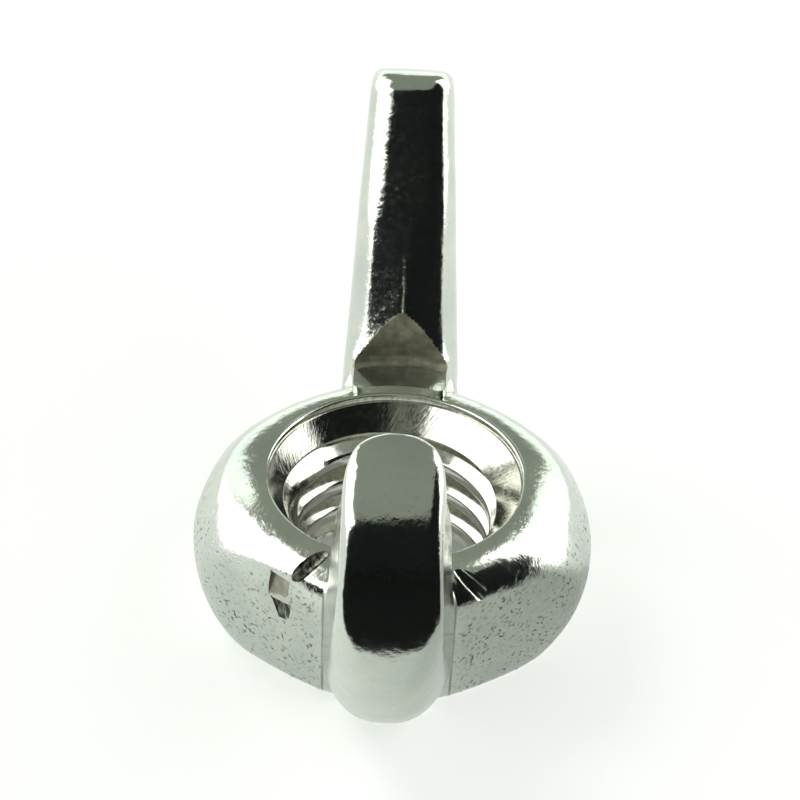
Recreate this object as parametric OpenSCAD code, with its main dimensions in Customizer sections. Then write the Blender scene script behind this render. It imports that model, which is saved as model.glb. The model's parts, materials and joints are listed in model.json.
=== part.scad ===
// Wing nut: a one-piece cold forging with a round hub, two lobed wings and a tapped through bore.
// Origin: centre of the flat base. +Z runs up the bore, and the wings stand in the YZ plane.

/* [Thread] */
// Nominal thread diameter
thread_d = 8; // [7.8:0.1:8.2]
// Thread pitch
pitch = 1.25; // [1.2:0.05:1.3]
// Radius of the bore at the thread's crests
minor_r = 3.43; // [3.4:0.01:3.46]

/* [Hub] */
// Height of the hub from its base to the spot-faced rim
hub_h = 6; // [5.8:0.1:6.4]
// Half width of the hub's base across the wings
base_rx = 6.55; // [6.4:0.05:6.8]
// Half width of the hub's base along the wings
base_ry = 5.4; // [5.2:0.05:5.6]
// Distance of the web facets beside the wings from the axis, at the base
web_d = 5.5; // [5.4:0.05:5.7]
// Radius of the lead-in countersink at the rim
rim_r = 4.55; // [4.4:0.05:4.7]
// Radius of the spot face that cuts the wings' roots
spot_r = 6.1; // [5.9:0.05:6.2]

/* [Wings] */
// Distance of each wing's outermost point from the axis
wing_reach = 13.7; // [13:0.1:14.5]
// Height of the wing tips above the base
wing_h = 15.9; // [15.4:0.1:16.4]
// Half thickness of a wing at its root
root_half = 2.15; // [2:0.05:2.3]
// Half thickness that a wing loses per millimetre away from its root
taper = 0.062; // [0.05:0.002:0.07]
// Lean of the wings' inner faces from the axis, in degrees
lean = 28; // [27:0.5:30]

/* [Hidden] */
$fn = 96;

// thread
thread_r = thread_d / 2;
groove_flat = pitch / 8;                    // width of the groove's bottom
chamfer_r = thread_r + 0.15;                // mouth of the chamfer at the base
THREAD_STEPS = 24;                          // groove stations per turn
LAND = 0.35;                                // plain ring left between chamfer and thread
LAND_EXTRA = 0.03;                          // and how much wider than the crests it is
GROOVE_OVERLAP = 0.25;                      // how far the groove's tool reaches inside the crests
RUN_OUT = 0.8;                              // height left free of groove below the rim

// hub section: two points on each of its faces, as [distance from the axis, height]
draft_face = [[base_rx, 0], [base_rx + 0.72, 1.7]];
flank_face = [[base_rx + 0.92, 1.4], [base_rx + 0.37, 4.9]];
brow_face = [[base_rx + 0.85, hub_h - 1.75], [5.65, hub_h - 0.25]];
deck_face = [[5.9, hub_h - 0.25], [rim_r + 0.05, hub_h + 0.05]];
OVAL_POWER = 1.825;                         // power of the oval that the flank follows
OVAL_GROWTH = 0.54;                         // what its half width along the wings gains per mm of height
WEB_ANGLE = 57;                             // bearing of the web facets from the X axis
WEB_DRAFT = 0.125;                          // what their distance gains per mm of height

// wing outline in the (h, z) plane, where h is the distance from the axis: three tangent arcs
TIP_R = 3.45;
SIDE_R = 5.7;
UNDER_R = 12.2;
TIP_END = 29;                               // normal's elevation where tip arc meets side arc
SIDE_END = -10;                             // and where side arc meets underside arc
UNDER_END = -45;                            // below this the underside is straight
side_c = [wing_reach - SIDE_R, wing_h - TIP_R + (TIP_R - SIDE_R) * sin(TIP_END)];
tip_c = side_c + (SIDE_R - TIP_R) * [cos(TIP_END), sin(TIP_END)];
under_c = side_c + (SIDE_R - UNDER_R) * [cos(SIDE_END), sin(SIDE_END)];
INNER_Z = 8.4;                              // height where a wing's inner face meets the spot face
EDGE_R = 0.8;                               // rounding along a wing's edges
ROOT_FLAT = 0.25;                           // half width of the flat left where the root is rounder
CROWN = 0.05;                               // fall of the edges away from the wing's middle plane
TAPER_START = 8.5;                          // distance from the origin where a wing starts to thin

// sampling of the forged surface
SLICES = 80;
SPOKES = 40;
CORE_Z = 3;                                 // height of the slices' centres within the hub
CORE_END = 5;                               // the centres rise outside this distance from the axis

function clamp(t) = max(0, min(1, t));
// Larger of two distances, rounded over a band k wide
function soft_max(a, b, k) =
    let (t = clamp(0.5 + 0.5 * (a - b) / k)) b + (a - b) * t + k * t * (1 - t);
function soft_min(a, b, k) = -soft_max(-a, -b, k);
// Distance of p outside the face through two points, which has the solid on its left
function beyond(p, face) =
    let (d = face[1] - face[0], q = p - face[0]) (q[0] * d[1] - q[1] * d[0]) / norm(d);
// Elevation of p as seen from c
function bearing(p, c) = atan2(p[1] - c[1], p[0] - c[0]);
function past_arc(p, c, r) = norm(p - c) - r;

// Distance outside the wing's convex outer edge
function outside_edge(p) =
    bearing(p, tip_c) > TIP_END ? past_arc(p, tip_c, TIP_R)
    : bearing(p, side_c) > SIDE_END ? past_arc(p, side_c, SIDE_R)
    : bearing(p, under_c) > UNDER_END ? past_arc(p, under_c, UNDER_R)
    : (p - under_c) * [cos(UNDER_END), sin(UNDER_END)] - UNDER_R;
// Distance inside the leaning inner face
function inside_face(p) = ([spot_r, INNER_Z] - p) * [cos(lean), -sin(lean)];

// Distance field of the hub: an oval flank with flat webs beside the wings and a turned shoulder
function hub_field(x, y, z) =
    let (up = max(z, 0),
         across = pow(abs(x) / base_rx, OVAL_POWER),
         along = pow(abs(y) / (base_ry + OVAL_GROWTH * up), OVAL_POWER),
         oval = [base_rx * pow(across + along, 1 / OVAL_POWER), z],
         turned = [norm([x, y]), z],
         flank = soft_max(beyond(oval, draft_face), beyond(oval, flank_face), 1),
         web = [abs(x), abs(y)] * [cos(WEB_ANGLE), sin(WEB_ANGLE)] - web_d - WEB_DRAFT * up,
         brow = soft_max(soft_max(flank, web, 0.3), beyond(turned, brow_face), 1),
         deck = soft_max(brow, beyond(turned, deck_face), 0.5))
    max(deck, -z - 0.8);

// Distance field of one wing, rounder at its root than at its tip
function wing_field(x, y, z) =
    let (p = [abs(y), z],
         half = root_half - taper * max(0, norm(p) - TAPER_START),
         root = clamp((10.5 - z) / 3) * clamp((9 - abs(y)) / 2),
         round_r = EDGE_R + (half - ROOT_FLAT - EDGE_R) * root,
         outline = soft_max(outside_edge(p), inside_face(p), 0.35) + round_r + CROWN * x * x,
         side = abs(x) - half + round_r)
    norm([max(0, outline), max(0, side)]) + min(0, max(outline, side)) - round_r;

// The whole forging: the fillet between hub and wings is wider at the shoulder than on the flanks
function forging(x, y, z) =
    let (fillet = 0.3 + 0.9 * clamp((z - 4.5) / 2))
    soft_min(hub_field(x, y, z), wing_field(x, y, z), fillet);

// Where a spoke along d from height c leaves the slice at y, by halving the span from near to far
function spoke_end(c, y, d, near, far, n) =
    let (r = (near + far) / 2)
    n == 0 ? [r * d[0], y, c + r * d[1]]
    : forging(r * d[0], y, c + r * d[1]) > 0 ? spoke_end(c, y, d, near, r, n - 1)
    : spoke_end(c, y, d, r, far, n - 1);

// Solid forging before machining: slices across Y, each a ring of spokes from a point inside it
module forged_blank() {
    end_y = wing_reach - 0.01;
    rise = (side_c[1] - CORE_Z) / (wing_reach - CORE_END);
    rings = [for (i = [0 : SLICES])
        let (y = end_y * sin(180 * i / SLICES - 90),
             outer = max(0, abs(y) - CORE_END),
             squeeze = 1 - 0.7 * clamp(outer / 2))
        [for (j = [0 : SPOKES - 1])
            let (a = 360 * j / SPOKES)
            spoke_end(CORE_Z + rise * outer, y, [squeeze * cos(a), sin(a)], 0, 20, 18)]];
    points = [for (ring = rings) each ring];
    last = SLICES * SPOKES;
    faces = concat(
        [[for (j = [0 : SPOKES - 1]) j]],
        [for (i = [0 : SLICES - 1], j = [0 : SPOKES - 1])
            let (a = i * SPOKES + j, b = i * SPOKES + (j + 1) % SPOKES)
            each [[a, a + SPOKES, b], [b, a + SPOKES, b + SPOKES]]],
        [[for (j = [SPOKES - 1 : -1 : 0]) last + j]]);
    polyhedron(points, faces);
}

// Helical groove of the right-hand thread, fading out at both ends
module thread_groove() {
    inner = minor_r - GROOVE_OVERLAP;
    least = inner + 0.02;
    bottom = chamfer_r - minor_r + LAND;
    turns = (hub_h - bottom - RUN_OUT) / pitch;
    n = round(turns * THREAD_STEPS);
    fade = THREAD_STEPS / 4;
    function half_w(r) = groove_flat / 2 + (thread_r - r) * tan(30);
    function at(a, r, z) = [r * cos(a), r * sin(a), z];
    points = [for (i = [0 : n])
        let (a = 360 * i / THREAD_STEPS, z = bottom + half_w(inner) + pitch * i / THREAD_STEPS,
             r = least + (thread_r - least) * min(1, i / fade, (n - i) / fade))
        each [at(a, inner, z - half_w(inner)), at(a, inner, z + half_w(inner)),
              at(a, r, z + half_w(r)), at(a, r, z - half_w(r))]];
    faces = concat(
        [[0, 1, 2, 3], [for (k = [3 : -1 : 0]) 4 * n + k]],
        [for (i = [0 : n - 1], k = [0 : 3])
            let (a = 4 * i + k, b = 4 * i + (k + 1) % 4)
            each [[a, a + 4, b + 4], [a, b + 4, b]]]);
    polyhedron(points, faces);
}

// Everything that machining removes: base face, spot face, bore, countersink, chamfer and thread
module machining() {
    far = 2 * wing_reach;
    cone_h = (rim_r - minor_r) / tan(30) + 0.1;
    chamfer_h = chamfer_r - minor_r;
    translate([-far / 2, -far, -far]) cube([far, 2 * far, far]);
    translate([0, 0, hub_h]) cylinder(r = spot_r, h = wing_h);
    translate([0, 0, -1]) cylinder(r = minor_r, h = hub_h + 2);
    translate([0, 0, hub_h - cone_h])
        cylinder(r1 = rim_r - cone_h * tan(30), r2 = rim_r + 0.1 * tan(30), h = cone_h + 0.1);
    translate([0, 0, -0.1]) cylinder(r1 = chamfer_r + 0.1, r2 = minor_r - 0.1, h = chamfer_h + 0.2);
    cylinder(r = minor_r + LAND_EXTRA, h = chamfer_h + LAND);
    thread_groove();
}

module wing_nut() {
    color([0.72, 0.74, 0.72])
        difference() {
            forged_blank();
            machining();
        }
}

wing_nut();
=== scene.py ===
import json
import math

import bpy
import numpy as np
from mathutils import Matrix, Vector
from mathutils.bvhtree import BVHTree


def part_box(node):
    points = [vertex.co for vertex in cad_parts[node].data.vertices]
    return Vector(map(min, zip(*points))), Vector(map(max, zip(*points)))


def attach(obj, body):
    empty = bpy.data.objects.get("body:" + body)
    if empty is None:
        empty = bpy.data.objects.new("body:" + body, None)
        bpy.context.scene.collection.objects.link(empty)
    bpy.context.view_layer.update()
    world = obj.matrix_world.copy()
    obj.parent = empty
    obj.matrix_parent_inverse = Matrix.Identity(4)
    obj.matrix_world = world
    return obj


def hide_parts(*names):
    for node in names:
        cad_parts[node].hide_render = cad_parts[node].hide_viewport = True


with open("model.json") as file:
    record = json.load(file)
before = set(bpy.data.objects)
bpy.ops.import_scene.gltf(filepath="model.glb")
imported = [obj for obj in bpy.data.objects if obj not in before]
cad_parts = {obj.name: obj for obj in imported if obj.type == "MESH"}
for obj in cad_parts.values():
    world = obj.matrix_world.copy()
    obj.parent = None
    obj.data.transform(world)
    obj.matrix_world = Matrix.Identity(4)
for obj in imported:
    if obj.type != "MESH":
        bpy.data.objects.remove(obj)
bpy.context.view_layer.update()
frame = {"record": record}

MM = 0.001
low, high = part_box("wing_nut")
mounts = {m["name"]: m for m in frame["record"]["mounts"]}

# ---------------------------------------------------------------- sizes, driven by the CAD frame
# the CAD's sampled surface falls this far short of the wings' true reach and height
REACH_LOSS, HEIGHT_LOSS = 0.01, 0.03
WING_REACH = high[1] / MM + REACH_LOSS
WING_H = high[2] / MM + HEIGHT_LOSS
MINOR_R = mounts["thread"]["dims"]["r_mm"]

# hub: heights and radii, then the oval flank and the web facets beside the wings
HUB_H = 6.0
FLANK_BULGE = 0.62
BASE_RX = high[0] / MM - FLANK_BULGE
BASE_RY = 5.4
OVAL_POWER = 1.825
OVAL_GROWTH = 0.54
WEB_ANGLE = math.radians(57)
WEB_D = 5.5
WEB_DRAFT = 0.125

# wings: outline of three tangent arcs, the leaning inner face, and edge radii
TIP_R, SIDE_R, UNDER_R = 3.45, 5.7, 12.2
TIP_END, SIDE_END, UNDER_END = math.radians(29), math.radians(-10), math.radians(-45)
SPOT_R = 6.1
INNER_Z = 8.4
LEAN = math.radians(28)
ROOT_HALF = 2.15
TAPER = 0.062
TAPER_START = 8.5
CROWN = 0.07
ROOF_SLOPE = 0.36
OUTER_EDGE_R = 0.42
INNER_EDGE_R = 0.95
FOOT_R = 1.55

# bore: thread, countersink and rim
THREAD_R = 4.0
PITCH = 1.25
THREAD_PHASE = 0.19
CHAMFER_R = THREAD_R + 0.15
RIM_R = 4.55
LEDGE_Z = HUB_H + 0.25
FLANK_SLOPE = math.tan(math.radians(30))
CONE_SLOPE = math.tan(math.radians(35))
LAND_R = RIM_R - 0.05
LAND_FOOT = HUB_H - 0.33
CONE_TOP_R = LAND_R - 0.06
CONE_FOOT = LAND_FOOT - (CONE_TOP_R - MINOR_R) / CONE_SLOPE

GRID = 0.135
BELOW_BASE = 0.8

rng = np.random.default_rng(7)


# ---------------------------------------------------------------- distance field of the forging
def soft_max(a, b, k):
    t = np.clip(0.5 + 0.5 * (a - b) / k, 0, 1)
    return b + (a - b) * t + k * t * (1 - t)


def soft_min(a, b, k):
    return -soft_max(-a, -b, k)


def beyond(r, z, start, end):
    """Distance outside the face through two (r, z) points, which has the solid on its left."""
    dr, dz = end[0] - start[0], end[1] - start[1]
    return ((r - start[0]) * dz - (z - start[1]) * dr) / math.hypot(dr, dz)


def direction(angle):
    return np.array([math.cos(angle), math.sin(angle)])


SIDE_C = np.array([WING_REACH - SIDE_R, WING_H - TIP_R + (TIP_R - SIDE_R) * math.sin(TIP_END)])
TIP_C = SIDE_C + (SIDE_R - TIP_R) * direction(TIP_END)
UNDER_C = SIDE_C + (SIDE_R - UNDER_R) * direction(SIDE_END)


def outside_edge(h, z):
    """Distance outside the wing's outer edge: three tangent arcs and a straight underside."""
    n = direction(UNDER_END)
    d = (h - UNDER_C[0]) * n[0] + (z - UNDER_C[1]) * n[1] - UNDER_R
    for centre, radius, end in (
        (UNDER_C, UNDER_R, UNDER_END),
        (SIDE_C, SIDE_R, SIDE_END),
        (TIP_C, TIP_R, TIP_END),
    ):
        dh, dz = h - centre[0], z - centre[1]
        d = np.where(np.arctan2(dz, dh) > end, np.hypot(dh, dz) - radius, d)
    return d


def hub_field(x, y, z):
    """Distance outside the hub: an oval flank with flat webs and a turned shoulder."""
    up = np.maximum(z, 0)
    across = (np.abs(x) / BASE_RX) ** OVAL_POWER
    along = (np.abs(y) / (BASE_RY + OVAL_GROWTH * up)) ** OVAL_POWER
    oval = BASE_RX * (across + along) ** (1 / OVAL_POWER)
    turned = np.hypot(x, y)
    flank = soft_max(
        beyond(oval, z, (BASE_RX, 0), (BASE_RX + 0.72, 1.7)),
        beyond(oval, z, (BASE_RX + 0.92, 1.4), (BASE_RX + 0.37, 4.9)),
        1,
    )
    web_n = direction(WEB_ANGLE)
    web = np.abs(x) * web_n[0] + np.abs(y) * web_n[1] - WEB_D - WEB_DRAFT * up
    sides = soft_max(flank, web, 0.3)
    brow = soft_max(
        sides, beyond(turned, z, (BASE_RX + 0.85, HUB_H - 1.75), (5.65, HUB_H - 0.25)), 1
    )
    deck = soft_max(
        brow, beyond(turned, z, (5.9, HUB_H - 0.27), (RIM_R + 0.05, HUB_H - 0.05)), 0.5
    )
    return deck


def step_up(value, start, end):
    """0 before start and 1 after end, in either direction, with a smooth rise between."""
    t = np.clip((value - start) / (end - start), 0, 1)
    return t * t * (3 - 2 * t)


def wing_field(x, y, z):
    """Distance outside either wing, where h is the distance from the axis."""
    h = np.abs(y)
    half = ROOT_HALF - TAPER * np.maximum(0, np.hypot(h, z) - TAPER_START)
    outside = outside_edge(h, z)
    inside = (SPOT_R - h) * math.cos(LEAN) - (INNER_Z - z) * math.sin(LEAN)
    inner_side = step_up(inside - outside, -1.6, 0.6)
    foot = step_up(z, 12.5, 6.0) * (1 - inner_side)
    # only the front wing's tip is fully round; both inner faces fold into a roof at the root
    tip = np.where(y < 0, step_up(z, WING_H - 4.5, WING_H - 2.0), 0)
    round_end = half - np.sqrt(np.maximum(half * half - x * x, 0.01))
    root = step_up(z, 12.5, 7.0)
    roof = ROOF_SLOPE * root * (np.sqrt(x * x + 0.04) - 0.2)
    inside = inside + (CROWN * x * x + roof) * (1 - tip) + round_end * tip
    outside = outside + (0.03 + 0.10 * foot) * x * x
    rounder = inner_side * (1 - tip) * (1 - 0.4 * root)
    edge = OUTER_EDGE_R + (INNER_EDGE_R - OUTER_EDGE_R) * rounder
    edge = edge + (FOOT_R - OUTER_EDGE_R) * foot
    outline = soft_max(outside, inside, 0.35) + edge
    side = np.abs(x) - half + edge
    outer = np.hypot(np.maximum(outline, 0), np.maximum(side, 0))
    return outer + np.minimum(np.maximum(outline, side), 0) - edge


def pad_field(x, y, z):
    """Raised pad at the foot of each wing, which the spot face leaves as a ledge by the rim."""
    corner = 0.3
    box = (
        np.abs(x) - (1.72 - corner),
        np.abs(np.abs(y) - 5.7) - (1.25 - corner),
        np.abs(z - 5.6) - (0.9 - corner),
    )
    outer = np.sqrt(sum(np.maximum(side, 0) ** 2 for side in box))
    return outer + np.minimum(np.maximum(np.maximum(box[0], box[1]), box[2]), 0) - corner


# Slow waves that keep the forged faces from being perfectly even: direction, length and phase
WAVE_HEIGHT = 0.0009
WAVES = [
    (rng.normal(size=3), rng.uniform(2.5, 7.0), rng.uniform(0, 2 * math.pi)) for _ in range(14)
]


def unevenness(x, y, z):
    total = 0
    for axis, length, phase in WAVES:
        axis = axis / np.linalg.norm(axis)
        turn = (x * axis[0] + y * axis[1] + z * axis[2]) * 2 * math.pi / length + phase
        total = total + np.sin(turn) * length
    return total * WAVE_HEIGHT


def forging(x, y, z):
    """Distance outside the whole forging, whose fillets widen above the shoulder."""
    h = np.abs(y)
    flare = 1.05 + 0.6 * step_up(y, 0, 4)
    fillet = 0.14 + flare * np.clip((z - 4.5) / 2, 0, 1) * np.clip((h - 4.8) / 1.0, 0, 1)
    whole = soft_min(hub_field(x, y, z), wing_field(x, y, z), fillet)
    whole = soft_min(whole, pad_field(x, y, z), 0.08)
    whole = whole + unevenness(x, y, z)
    return np.maximum(whole, -z - BELOW_BASE)


def surface_net(field, lo, hi, step):
    """Vertices and quads of the surface where field is 0: one vertex in every cell it crosses."""
    axes = [np.arange(a, b + step, step) for a, b in zip(lo, hi)]
    grid = np.meshgrid(*axes, indexing="ij")
    values = field(*grid)
    inside = values < 0
    nx, ny, nz = inside.shape
    corners = [(i, j, k) for i in (0, 1) for j in (0, 1) for k in (0, 1)]
    count = sum(
        inside[i : nx - 1 + i, j : ny - 1 + j, k : nz - 1 + k].astype(int) for i, j, k in corners
    )
    crossed = (count > 0) & (count < 8)
    index = -np.ones(crossed.shape, int)
    index[crossed] = np.arange(crossed.sum())
    cells = np.argwhere(crossed)
    total = np.zeros((len(cells), 3))
    hits = np.zeros(len(cells))
    for corner in corners:
        for axis in range(3):
            if corner[axis]:
                continue
            other = list(corner)
            other[axis] = 1
            va = values[tuple((cells + corner).T)]
            vb = values[tuple((cells + other).T)]
            cut = (va < 0) != (vb < 0)
            point = np.tile(np.array(corner, float), (len(cells), 1))
            point[:, axis] += np.where(cut, va / np.where(cut, va - vb, 1), 0)
            total[cut] += point[cut]
            hits[cut] += 1
    vertices = (cells + total / hits[:, None]) * step + np.array(lo)
    quads = []
    for axis in range(3):
        shift = [int(i == axis) for i in range(3)]
        a = inside[: nx - shift[0], : ny - shift[1], : nz - shift[2]]
        b = inside[shift[0] :, shift[1] :, shift[2] :]
        edges = np.argwhere(a != b)
        u, v = ((1, 2), (2, 0), (0, 1))[axis]
        du, dv = np.eye(3, dtype=int)[u], np.eye(3, dtype=int)[v]
        quad = np.stack(
            [index[tuple((edges - d).T)] for d in (0 * du, du, du + dv, dv)], axis=1
        )
        turned = ~a[tuple(edges.T)]
        quad[turned] = quad[turned][:, ::-1]
        quads.append(quad)
    return vertices, np.concatenate(quads)


def settle(vertices, field, rounds=3, h=1e-3):
    """Moves vertices along the field's gradient onto its zero surface."""
    for _ in range(rounds):
        value = field(*vertices.T)
        gradient = np.stack(
            [
                (field(*(vertices + d).T) - field(*(vertices - d).T)) / (2 * h)
                for d in np.eye(3) * h
            ],
            axis=1,
        )
        squared = np.maximum((gradient**2).sum(1), 0.1)
        vertices = vertices - gradient * np.clip(value / squared, -0.1, 0.1)[:, None]
    return vertices


def new_object(name, vertices, faces):
    mesh = bpy.data.meshes.new(name)
    mesh.from_pydata((np.asarray(vertices) * MM).tolist(), [], [list(map(int, f)) for f in faces])
    mesh.validate()
    obj = bpy.data.objects.new(name, mesh)
    bpy.context.scene.collection.objects.link(obj)
    return obj


# ---------------------------------------------------------------- machining tools
def arc(centre, radius, start, end, count=6):
    """(r, z) points along an arc between two angles in degrees."""
    return [
        (centre[0] + radius * math.cos(a), centre[1] + radius * math.sin(a))
        for a in np.radians(np.linspace(start, end, count))
    ]


def turned_tool():
    """Solid of revolution that removes the bore, chamfer, countersink, rim land and spot face."""
    lip, corner = 0.09, 0.35
    profile = [(CHAMFER_R + 1.5, -1.5), (CHAMFER_R, 0.0), (MINOR_R, CHAMFER_R - MINOR_R)]
    profile += [(MINOR_R, CONE_FOOT), (CONE_TOP_R, LAND_FOOT), (LAND_R, LAND_FOOT + 0.015)]
    profile += arc((LAND_R + lip, HUB_H - 0.055 - lip), lip, 180, 95)
    profile += [(LAND_R + 0.12, HUB_H - 0.05), (LAND_R + 0.16, LEDGE_Z)]
    profile += arc((SPOT_R - corner, LEDGE_Z + corner), corner, 270, 360, 8)
    profile += [(SPOT_R, WING_H + 2)]
    steps = 192
    angles = np.arange(steps) * 2 * math.pi / steps
    vertices = [(0, 0, profile[0][1])]
    for r, z in profile:
        vertices += [(r * math.cos(a), r * math.sin(a), z) for a in angles]
    vertices.append((0, 0, profile[-1][1]))
    last = len(vertices) - 1
    top = 1 + (len(profile) - 1) * steps
    faces = []
    for i in range(steps):
        j = (i + 1) % steps
        faces.append((0, 1 + j, 1 + i))
        for a in range(1, top, steps):
            faces.append((a + i, a + j, a + steps + j, a + steps + i))
        faces.append((top + i, top + j, last))
    return vertices, faces


def groove_tool():
    """Helical groove of the right-hand thread: straight flanks, a rounded root and eased crests."""
    root = PITCH / 16
    mouth = root + (THREAD_R - MINOR_R - 0.05) * FLANK_SLOPE
    upper = [
        (MINOR_R - 0.25, mouth + 0.13),
        (MINOR_R - 0.012, mouth + 0.09),
        (MINOR_R + 0.012, mouth + 0.045),
        (MINOR_R + 0.05, mouth),
        (MINOR_R + 0.09, mouth - 0.04 * FLANK_SLOPE),
        (THREAD_R - 0.10, root + 0.10 * FLANK_SLOPE),
        (THREAD_R - 0.06, root + 0.06 * FLANK_SLOPE),
        (THREAD_R - 0.015, root),
        (THREAD_R, root * 0.4),
    ]
    loop = upper + [(r, -z) for r, z in reversed(upper)]
    per_turn = 120
    turns = (HUB_H + 0.6) / PITCH
    count = int(turns * per_turn)
    vertices, faces = [], []
    for i in range(count + 1):
        a = 2 * math.pi * i / per_turn
        z0 = -1.0 + THREAD_PHASE * PITCH + PITCH * i / per_turn
        vertices += [(r * math.cos(a), r * math.sin(a), z0 + z) for r, z in loop]
    n = len(loop)
    for i in range(count):
        for k in range(n):
            a, b = i * n + k, i * n + (k + 1) % n
            faces.append((a, b, b + n, a + n))
    faces.append(tuple(reversed(range(n))))
    faces.append(tuple(count * n + k for k in range(n)))
    return vertices, faces


def prism(outline, origin, normal, up, depth):
    """Struck flat: an outline on the plane through origin, sunk by depth and cut away outwards."""
    normal = Vector(normal).normalized()
    across = Vector(up).cross(normal).normalized()
    rise = normal.cross(across)
    n = len(outline)
    vertices = [
        Vector(origin) + across * u + rise * v + normal * out
        for out in (-depth, 0.8)
        for u, v in outline
    ]
    faces = [tuple(reversed(range(n))), tuple(range(n, 2 * n))]
    faces += [(k, (k + 1) % n, n + (k + 1) % n, n + k) for k in range(n)]
    return [tuple(v) for v in vertices], faces


def gouge(start, end, radius, sunk, out):
    """Pointed spindle between two points, its axis shifted along out so that it bites by sunk."""
    start, end, out = Vector(start), Vector(end), Vector(out).normalized()
    along = (end - start).normalized()
    side = along.cross(out).normalized()
    out = side.cross(along)
    middle = (start + end) / 2 + out * (radius - sunk)
    half = (end - start).length / 2
    vertices = [tuple(middle - along * half)]
    rings, spokes = 15, 20
    for i in range(1, rings):
        t = math.pi * i / rings
        for k in range(spokes):
            a = 2 * math.pi * k / spokes
            r = radius * math.sin(t) ** 1.3
            spoke = out * math.cos(a) + side * math.sin(a)
            vertices.append(tuple(middle - along * half * math.cos(t) + spoke * r))
    vertices.append(tuple(middle + along * half))
    last = len(vertices) - 1
    faces = []
    for k in range(spokes):
        j = (k + 1) % spokes
        faces.append((0, 1 + j, 1 + k))
        for i in range(rings - 2):
            a = 1 + i * spokes
            faces.append((a + k, a + j, a + spokes + j, a + spokes + k))
        faces.append((last - spokes + k, last - spokes + j, last))
    return vertices, faces


# ---------------------------------------------------------------- forging, marks and machining
vertices, quads = surface_net(forging, (-8, -14.5, -1.3), (8, 14.5, 16.6), GRID)
nut = new_object("wing_nut_body", settle(vertices, forging), quads)

# marks struck left of the front wing: two flats and a scored line
UP = (0, 0, 1)
SQUARE_FLAT = [(-0.42, -0.5), (0.42, -0.5), (0.40, 0.45), (-0.40, 0.5)]
POINTED_FLAT = [(-0.42, 0.62), (-0.05, -0.75), (0.12, -0.72), (0.42, 0.62)]
MARKS = [
    prism(SQUARE_FLAT, (-3.78, -4.70, 4.55), (-0.60, -0.74, 0.30), UP, 0.07),
    prism(POINTED_FLAT, (-3.70, -4.75, 3.35), (-0.58, -0.81, -0.02), UP, 0.10),
    gouge((-3.8, -5.3, 4.8), (-1.8, -4.05, 6.2), 0.27, 0.13, (-0.35, -0.6, 0.6)),
]
# the slab removes everything below the base face
SLAB_CORNERS = [(x, y, z) for x in (-30, 30) for y in (-30, 30) for z in (-5, 0)]
SLAB_FACES = [(0, 1, 3, 2), (4, 6, 7, 5), (0, 4, 5, 1), (2, 3, 7, 6), (0, 2, 6, 4), (1, 5, 7, 3)]
right_gouge = gouge((1.9, -4.7, 6.05), (3.55, -5.3, 4.55), 0.36, 0.14, (0.4, -0.75, 0.6))
tools = [
    new_object("slab", SLAB_CORNERS, SLAB_FACES),
    new_object("turned_tool", *turned_tool()),
    new_object("groove_tool", *groove_tool()),
    new_object("gouge_right", *right_gouge),
    *(new_object("mark", *mark) for mark in MARKS),
]
for tool in tools:
    cut = nut.modifiers.new(tool.name, "BOOLEAN")
    cut.operation = "DIFFERENCE"
    cut.solver = "MANIFOLD"
    cut.object = tool
depsgraph = bpy.context.evaluated_depsgraph_get()
machined = bpy.data.meshes.new_from_object(nut.evaluated_get(depsgraph))
nut.modifiers.clear()
nut.data = machined
for tool in tools:
    bpy.data.objects.remove(tool)
machined.shade_smooth()
machined.set_sharp_from_angle(angle=math.radians(30))


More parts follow.
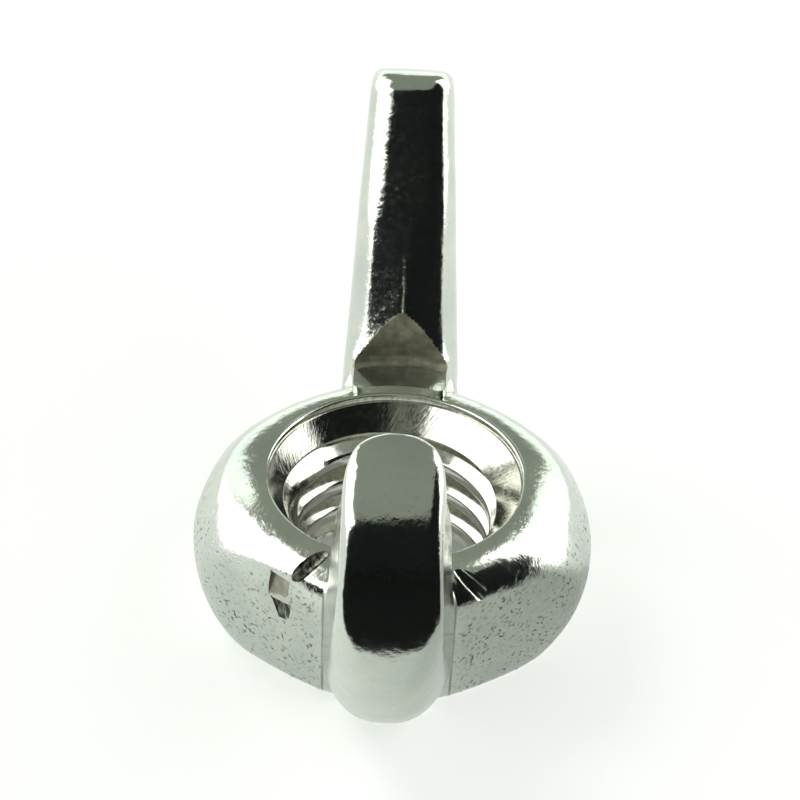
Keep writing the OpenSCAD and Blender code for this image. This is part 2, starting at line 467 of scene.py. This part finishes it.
# ---------------------------------------------------------------- materials
class Nodes:
    def __init__(self, name):
        self.material = bpy.data.materials.new(name)
        self.material.use_nodes = True
        self.tree = self.material.node_tree
        self.tree.nodes.clear()

    def add(self, kind, **settings):
        node = self.tree.nodes.new(kind)
        for key, value in settings.items():
            setattr(node, key, value)
        return node

    def object_position(self):
        """The object-space position, whole and as separate x, y and z."""
        whole = self.add("ShaderNodeTexCoord").outputs["Object"]
        split = self.add("ShaderNodeSeparateXYZ")
        self.link(whole, split.inputs[0])
        return whole, split.outputs

    def link(self, a, b):
        self.tree.links.new(a, b)

    def noise(self, vector, scale, detail=2.0, roughness=0.5):
        node = self.add("ShaderNodeTexNoise")
        node.inputs["Scale"].default_value = scale
        node.inputs["Detail"].default_value = detail
        node.inputs["Roughness"].default_value = roughness
        self.link(vector, node.inputs["Vector"])
        return node.outputs["Fac"]

    def ramp(self, value, low, high, out_low=0.0, out_high=1.0):
        node = self.add("ShaderNodeMapRange", clamp=True)
        for key, number in (
            ("From Min", low),
            ("From Max", high),
            ("To Min", out_low),
            ("To Max", out_high),
        ):
            node.inputs[key].default_value = number
        self.link(value, node.inputs["Value"])
        return node.outputs["Result"]

    def math(self, operation, a, b):
        node = self.add("ShaderNodeMath", operation=operation)
        for socket, value in zip(node.inputs, (a, b)):
            if isinstance(value, (int, float)):
                socket.default_value = value
            else:
                self.link(value, socket)
        return node.outputs[0]

    def vector(self, operation, a, b=None):
        node = self.add("ShaderNodeVectorMath", operation=operation)
        self.link(a, node.inputs[0])
        if b is not None:
            if isinstance(b, tuple):
                node.inputs[1].default_value = b
            else:
                self.link(b, node.inputs[1])
        return node.outputs[0]

    def mix(self, fac, a, b):
        node = self.add("ShaderNodeMix", data_type="RGBA")
        self.link(fac, node.inputs["Factor"])
        for socket, value in ((node.inputs[6], a), (node.inputs[7], b)):
            if isinstance(value, tuple):
                socket.default_value = (*value, 1)
            else:
                self.link(value, socket)
        return node.outputs[2]

    def bump(self, height, distance, normal=None):
        node = self.add("ShaderNodeBump")
        node.inputs["Strength"].default_value = 1.0
        node.inputs["Distance"].default_value = distance
        self.link(height, node.inputs["Height"])
        if normal is not None:
            self.link(normal, node.inputs["Normal"])
        return node.outputs["Normal"]

    def metal(self, colour, roughness, normal):
        bsdf = self.add("ShaderNodeBsdfPrincipled")
        bsdf.inputs["Metallic"].default_value = 1.0
        self.link(colour, bsdf.inputs["Base Color"])
        self.link(roughness, bsdf.inputs["Roughness"])
        self.link(normal, bsdf.inputs["Normal"])
        out = self.add("ShaderNodeOutputMaterial")
        self.link(bsdf.outputs[0], out.inputs["Surface"])
        return self.material


def plated_material():
    """Bright plating over the forged skin: slightly wavy, mottled, pitted on the hub's flanks."""
    n = Nodes("plated_forging")
    coords, (x, _, z) = n.object_position()
    # 1 on the hub's flanks and web facets, 0 on the wings and the turned shoulder
    low = n.ramp(z, 5.1 * MM, 4.2 * MM)
    off_plane = n.math("ABSOLUTE", x, 0)
    beside = n.ramp(off_plane, 2.0 * MM, 2.6 * MM)
    flank = n.math("MULTIPLY", low, beside)
    slow = n.noise(coords, 450, 3)
    waves = n.noise(coords, 1500, 2, 0.4)
    mottle = n.noise(coords, 5200, 3, 0.6)
    grain = n.noise(coords, 16000, 2)

    # pits: dark specks gathered in patches, nearly all of them on the flanks
    patches = n.ramp(n.noise(coords, 900, 2), 0.38, 0.62)
    gathered = n.math("ADD", n.math("MULTIPLY", patches, 0.8), 0.2)
    shifted = n.vector("ADD", coords, (0.031, 0.012, 0.007))
    specks = n.ramp(n.noise(shifted, 6500, 3, 0.55), 0.57, 0.66)
    share = n.math("ADD", n.math("MULTIPLY", flank, 0.95), 0.05)
    pits = n.math("MULTIPLY", specks, n.math("MULTIPLY", gathered, share))

    # painted shade in the creases between the web facets and the wings
    crease_start = n.ramp(off_plane, 2.17 * MM, 2.21 * MM)
    crease_end = n.ramp(off_plane, 2.30 * MM, 2.24 * MM)
    crease = n.math("MULTIPLY", crease_start, crease_end)
    painted_crease_shade = n.math("MULTIPLY", crease, n.ramp(z, 5.4 * MM, 5.0 * MM, 0.0, 0.6))

    colour = n.mix(n.ramp(slow, 0.3, 0.7), (0.56, 0.60, 0.56), (0.68, 0.70, 0.63))
    spots = n.math("MULTIPLY", n.ramp(mottle, 0.55, 0.8), 0.25)
    colour = n.mix(spots, colour, (0.42, 0.45, 0.42))
    colour = n.mix(n.math("MULTIPLY", flank, 0.2), colour, (0.30, 0.33, 0.30))
    colour = n.mix(pits, colour, (0.06, 0.06, 0.05))
    # painted shade darkens the creases
    colour = n.mix(painted_crease_shade, colour, (0.06, 0.06, 0.05))

    satin = n.ramp(mottle, 0.3, 0.75, 0.09, 0.16)
    satin = n.math("ADD", satin, n.math("MULTIPLY", specks, 0.05))
    dull = n.ramp(mottle, 0.3, 0.75, 0.24, 0.38)
    roughness = n.add("ShaderNodeMix", data_type="FLOAT")
    for socket, value in zip((0, 2, 3), (flank, satin, dull)):
        n.link(value, roughness.inputs[socket])

    normal = n.bump(waves, 0.017 * MM)
    normal = n.bump(mottle, 0.007 * MM, normal)
    normal = n.bump(grain, 0.0008 * MM, normal)
    normal = n.bump(n.math("SUBTRACT", 1.0, pits), 0.03 * MM, normal)
    return n.metal(colour, roughness.outputs[0], normal)


def cut_material():
    """Countersink and thread: bright, with the tool's chatter marks leaning across the cone and
    painted dark reflections along them.
    """
    n = Nodes("cut_thread")
    coords, (_, _, z) = n.object_position()
    cone = n.ramp(z, 4.5 * MM, 4.9 * MM)
    # direction from the axis, turned a little with height so that the marks lean
    flat = n.vector("NORMALIZE", n.vector("MULTIPLY", coords, (1.0, 1.0, 0.0)))
    twist = n.add("ShaderNodeVectorRotate", rotation_type="Z_AXIS")
    n.link(flat, twist.inputs["Vector"])
    n.link(n.math("MULTIPLY", z, 0.16 / MM), twist.inputs["Angle"])
    height = n.add("ShaderNodeCombineXYZ")
    n.link(n.math("MULTIPLY", z, 0.06 / MM), height.inputs["Z"])
    around = n.vector("ADD", twist.outputs["Vector"], height.outputs[0])
    chatter = n.noise(around, 34, 2, 0.5)
    streaks = n.noise(around, 110, 2, 0.5)
    mottle = n.noise(coords, 4200, 2)
    rings = n.noise(n.vector("MULTIPLY", coords, (0.15, 0.15, 1.0)), 9000, 2)
    colour = n.mix(n.ramp(mottle, 0.3, 0.7), (0.60, 0.61, 0.55), (0.74, 0.74, 0.68))
    # painted dark reflections: the cone is darkened along the chatter streaks
    painted_dark_streaks = n.math("MULTIPLY", n.ramp(streaks, 0.56, 0.75), n.math("MULTIPLY", cone, 0.55))
    colour = n.mix(painted_dark_streaks, colour, (0.16, 0.15, 0.12))
    rough = n.ramp(mottle, 0.3, 0.7, 0.08, 0.16)
    normal = n.bump(n.math("MULTIPLY", chatter, cone), 0.008 * MM)
    normal = n.bump(n.math("MULTIPLY", streaks, cone), 0.004 * MM, normal)
    normal = n.bump(rings, 0.0012 * MM, normal)
    return n.metal(colour, rough, normal)


def sheared_material():
    """Struck and sheared flats, duller and browner than the plated skin."""
    n = Nodes("sheared_flats")
    coords, _ = n.object_position()
    stretched = n.vector("MULTIPLY", coords, (1.0, 1.0, 0.12))
    lines = n.noise(stretched, 6500, 3, 0.6)
    mottle = n.noise(coords, 2500, 3)
    colour = n.mix(n.ramp(mottle, 0.3, 0.7), (0.24, 0.23, 0.18), (0.44, 0.42, 0.34))
    rough = n.ramp(lines, 0.3, 0.7, 0.38, 0.55)
    normal = n.bump(lines, 0.012 * MM)
    return n.metal(colour, rough, normal)


def scored_material():
    """Deep scored mark: dark, with light lines along it."""
    n = Nodes("scored_mark")
    coords, _ = n.object_position()
    lines = n.noise(n.vector("MULTIPLY", coords, (1.0, 1.0, 0.35)), 5200, 3, 0.6)
    colour = n.mix(n.ramp(lines, 0.45, 0.72), (0.035, 0.035, 0.03), (0.42, 0.42, 0.37))
    rough = n.ramp(lines, 0.3, 0.7, 0.3, 0.42)
    normal = n.bump(lines, 0.01 * MM)
    return n.metal(colour, rough, normal)


PLATED, CUT, SHEARED, SCORED = range(4)
MARK_MATERIALS = (SHEARED, SCORED, SCORED)
mark_trees = [BVHTree.FromPolygons(*mark) for mark in MARKS]
EDGE_MARGIN = 0.02
ON_MARK = 0.006


def material_at(point):
    """Which material a face centred on point has: what cut it decides."""
    r = math.hypot(point.x, point.y)
    if r < LAND_R + EDGE_MARGIN:
        return CUT
    if point.z > LEDGE_Z + EDGE_MARGIN and r < SPOT_R + EDGE_MARGIN:
        return SHEARED
    # the marks are all in front, on the hub's flank and shoulder
    if point.y < -3.5 and 2 < point.z < 6.5:
        for tree, material in reversed(list(zip(mark_trees, MARK_MATERIALS))):
            if tree.find_nearest(point)[3] < ON_MARK:
                return material
    return PLATED


nut.data.materials.clear()
for material in (plated_material(), cut_material(), sheared_material(), scored_material()):
    nut.data.materials.append(material)
for face in nut.data.polygons:
    face.material_index = material_at(face.center / MM)
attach(nut, "root")
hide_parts("wing_nut")


# ---------------------------------------------------------------- studio
def plain_material(name, colour, emission=0.0):
    n = Nodes(name)
    bsdf = n.add("ShaderNodeBsdfPrincipled")
    bsdf.inputs["Base Color"].default_value = (*colour, 1)
    bsdf.inputs["Roughness"].default_value = 0.9
    bsdf.inputs["Specular IOR Level"].default_value = 0.0
    bsdf.inputs["Emission Color"].default_value = (*colour, 1)
    bsdf.inputs["Emission Strength"].default_value = emission
    out = n.add("ShaderNodeOutputMaterial")
    n.link(bsdf.outputs[0], out.inputs["Surface"])
    return n.material


def painted_floor_shade_material():
    """Painted shade of the white floor near the nut: a grey card that glows, with painted light
    stronger on the left of the nut than on the right.
    """
    n = Nodes("grey_floor_shaded")
    _, (x, _, _) = n.object_position()
    bsdf = n.add("ShaderNodeBsdfPrincipled")
    bsdf.inputs["Base Color"].default_value = (0.35, 0.36, 0.35, 1)
    bsdf.inputs["Specular IOR Level"].default_value = 0.0
    bsdf.inputs["Emission Color"].default_value = (0.95, 1.0, 0.95, 1)
    # painted light: the card's glow falls off from left to right
    glow = n.ramp(x, -12 * MM, 10 * MM, 0.85, 0.36)
    n.link(glow, bsdf.inputs["Emission Strength"])
    out = n.add("ShaderNodeOutputMaterial")
    n.link(bsdf.outputs[0], out.inputs["Surface"])
    return n.material


def stage_mesh(name, vertices, faces, material, seen=False):
    """Puts a mesh on the stage; unless seen, only reflections show it."""
    mesh = bpy.data.meshes.new(name)
    mesh.from_pydata(vertices, [], faces)
    obj = bpy.data.objects.new(name, mesh)
    bpy.context.scene.collection.objects.link(obj)
    mesh.materials.append(material)
    if not seen:
        obj.visible_camera = False
        obj.visible_diffuse = False
        obj.visible_shadow = False
        obj.visible_transmission = False


def card(name, plan, height, material, seen=False):
    """A flat card lying at a height, with its corners in plan, all in millimetres."""
    corners = [(x * MM, y * MM, height * MM) for x, y in plan]
    stage_mesh(name, corners, [tuple(range(len(corners)))], material, seen)


def toward(azimuth, elevation, distance):
    """Point at a bearing from the hub. Azimuth 0 is in front of the nut and grows to the right."""
    a, e = math.radians(azimuth), math.radians(elevation)
    return (
        distance * math.sin(a) * math.cos(e),
        -distance * math.cos(a) * math.cos(e),
        distance * math.sin(e),
    )


def screen(name, outline, distance, colour, radiance):
    """A reflected card whose corners are given as (azimuth, elevation) in degrees."""
    corners = []
    for (a0, e0), (a1, e1) in zip(outline, outline[1:] + outline[:1]):
        for t in (0, 0.25, 0.5, 0.75):
            corners.append(toward(a0 + (a1 - a0) * t, e0 + (e1 - e0) * t, distance))
    # the fan's middle is pushed out to the same distance, so that the screen is domed
    middle = tuple(sum(c[i] for c in corners) / len(corners) for i in range(3))
    scale = distance / math.dist(middle, (0, 0, 0))
    middle = tuple(c * scale for c in middle)
    last = len(corners)
    fan = [(i, (i + 1) % last, last) for i in range(last)]
    stage_mesh(name, [*corners, middle], fan, plain_material(name, colour, radiance))


def softbox(name, location, width, height, radiance):
    """An area light aimed at the nut, which reflections don't show."""
    data = bpy.data.lights.new(name, "AREA")
    data.shape = "RECTANGLE"
    data.size, data.size_y = width, height
    data.energy = radiance * math.pi * width * height
    obj = bpy.data.objects.new(name, data)
    obj.location = location
    aim = NUT_MIDDLE - Vector(location)
    obj.rotation_mode = "QUATERNION"
    obj.rotation_quaternion = aim.to_track_quat("-Z", "Y")
    bpy.context.scene.collection.objects.link(obj)
    obj.visible_camera = False
    obj.visible_glossy = False


WHITE = (1.0, 1.0, 0.98)
PALE = (0.94, 1.0, 0.96)
BLACK = (0.012, 0.014, 0.014)
WHITE_RADIANCE = 1.6
NUT_MIDDLE = Vector((0, 0, 8 * MM))

FLOOR_HALF = 3000
floor_plan = [(x * FLOOR_HALF, y * FLOOR_HALF) for x, y in ((-1, -1), (1, -1), (1, 1), (-1, 1))]
card("floor", floor_plan, 0, plain_material("floor", (0.88, 0.885, 0.88), 0.60), seen=True)

# screens round the nut: white on both sides, pale low behind it, black in front. The black one
# is nearest and the back ones farthest, so a nearer screen covers a farther one.
white_left = [(-137, 12), (-133, 40), (-120, 60), (-90, 67), (-70, 58), (-58, 40)]
white_left += [(-36, 30), (-24, 30), (-34, 24), (-57, 10), (-63, -3), (-138, -3)]
white_right = [(78, -3), (80, 8), (90, 26), (103, 52), (120, 66), (138, 58), (142, 30), (142, -3)]
screen("white_left", white_left, 0.30, WHITE, WHITE_RADIANCE)
screen("white_right", white_right, 0.31, WHITE, WHITE_RADIANCE)
for name, left, right, top, radiance in (
    ("back_left", 210, 223, 40, 0.8),
    ("back_right", 140, 150, 40, 0.8),
    ("back_low", 149, 211, 14, 0.75),
):
    screen(name, [(left, -3), (left, top), (right, top), (right, -3)], 0.33, PALE, radiance)
black_front = [(-63, -6), (-57, 10), (-34, 24), (-16, 31), (10, 31), (40, 35)]
black_front += [(55, 55), (75, 62), (103, 54), (90, 26), (80, 8), (78, -6)]
screen("black_front", black_front, 0.28, BLACK, 0.0)

# black cloth on the floor in front of the nut, and close to it a grey glowing card that paints the
# floor's shade in reflections
cloth = [(-24, -19.5), (-12, -18.6), (0, -18.4), (7, -17), (12, -14), (13, -8), (30, -10)]
cloth += [(60, -16), (290, -60), (200, -280), (-180, -260), (-240, -150)]
card("black_floor", cloth, 0.3, plain_material("black_floor", BLACK))
card("painted_shade_floor", [(-30, 2), (-30, -30), (30, -30), (30, 2)], 0.1, painted_floor_shade_material())

# the floor inside the bore is in shade
bore_plan = [toward(15 * i, 0, CHAMFER_R)[:2] for i in range(24)]
card("bore_floor", bore_plan, 0.05, plain_material("bore_floor", (0.40, 0.41, 0.40), 0.45), seen=True)

softbox("key", (-0.26, 0.22, 0.34), 0.22, 0.22, 3.2)
softbox("fill", (0.30, -0.05, 0.25), 0.40, 0.30, 0.9)
world = bpy.data.worlds.new("world")
world.use_nodes = True
background = world.node_tree.nodes["Background"]
background.inputs["Color"].default_value = (0.30, 0.33, 0.28, 1)
background.inputs["Strength"].default_value = 1.0
bpy.context.scene.world = world
bpy.context.scene.view_settings.view_transform = "Standard"

# ---------------------------------------------------------------- camera
VIEW_ELEVATION = math.radians(39.5)
VIEW_ROLL = math.radians(2.6)
VIEW_DISTANCE = 82 * MM
FIELD_WIDTH = 28.1442 * MM
SENSOR = 36
back = Vector((0, -math.cos(VIEW_ELEVATION), math.sin(VIEW_ELEVATION)))
roll = Matrix.Rotation(VIEW_ROLL, 3, "Z").to_quaternion()
camera_data = bpy.data.cameras.new("camera")
camera_data.sensor_width = SENSOR
camera_data.lens = SENSOR * VIEW_DISTANCE / FIELD_WIDTH
camera_data.shift_x = 0.0056
camera_data.shift_y = 0.09
camera_data.clip_start = 0.001
camera = bpy.data.objects.new("camera", camera_data)
camera.location = Vector((0, 0, HUB_H * MM)) + back * VIEW_DISTANCE
camera.rotation_mode = "QUATERNION"
camera.rotation_quaternion = (-back).to_track_quat("-Z", "Y") @ roll
bpy.context.scene.collection.objects.link(camera)
bpy.context.scene.camera = camera
